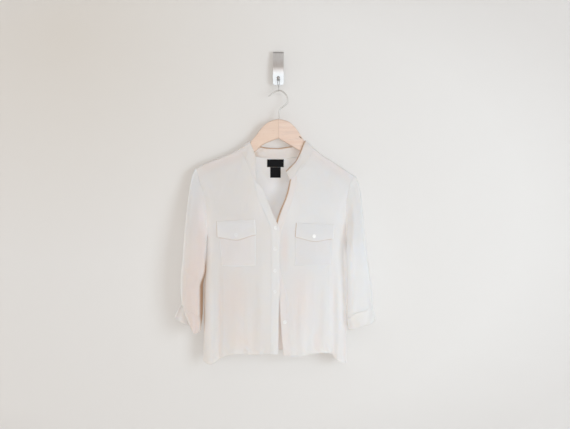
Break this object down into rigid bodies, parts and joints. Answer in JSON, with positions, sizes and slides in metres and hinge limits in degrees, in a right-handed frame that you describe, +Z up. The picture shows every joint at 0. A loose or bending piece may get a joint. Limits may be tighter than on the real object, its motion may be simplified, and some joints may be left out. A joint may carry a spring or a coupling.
{
  "type": "silk blouse on a wooden hanger",
  "caption": "Band-collared silk blouse with flapped chest pockets and split cuffs, open at the neck, on a wooden hanger that hangs from a steel wall hook.",
  "frame": {"origin": "middle of the flat back of the wall hook's strip, on the wall", "axes": "+Z up, +Y into the wall, -Y towards the viewer, +X to the wearer's left"},
  "size_m": [0.5528, 0.1016, 0.8608],
  "materials": {
    "silk": "ivory washed silk, soft sheen, slightly see-through",
    "button": "pearly shell, polished",
    "tape": "black woven tape, matt",
    "wood": "pale beech, sanded and clear lacquered",
    "wire": "plated steel, bright",
    "strip": "brushed steel strip"
  },
  "bodies": {
    "root": {"back": "silk", "front_right": "silk", "front_left": "silk", "front_band_right": "silk", "front_band_left": "silk", "collar_stand": "silk", "sleeve_right": "silk", "sleeve_left": "silk", "cuff_right": "silk", "cuff_left": "silk", "pocket_right": "silk", "pocket_left": "silk", "pocket_flap_right": "silk", "pocket_flap_left": "silk", "front_button_1": "button", "front_button_2": "button", "front_button_3": "button", "front_button_4": "button", "front_button_5": "button", "flap_button_right": "button", "flap_button_left": "button", "label": "tape", "size_tab": "tape", "hanger_arm_right": "wood", "hanger_arm_left": "wood", "hanger_hook": "wire", "hook_pin": "wire", "pin_head": "wire", "wire_loop": "wire", "wall_hook": "strip"}
  },
  "joints": []
}
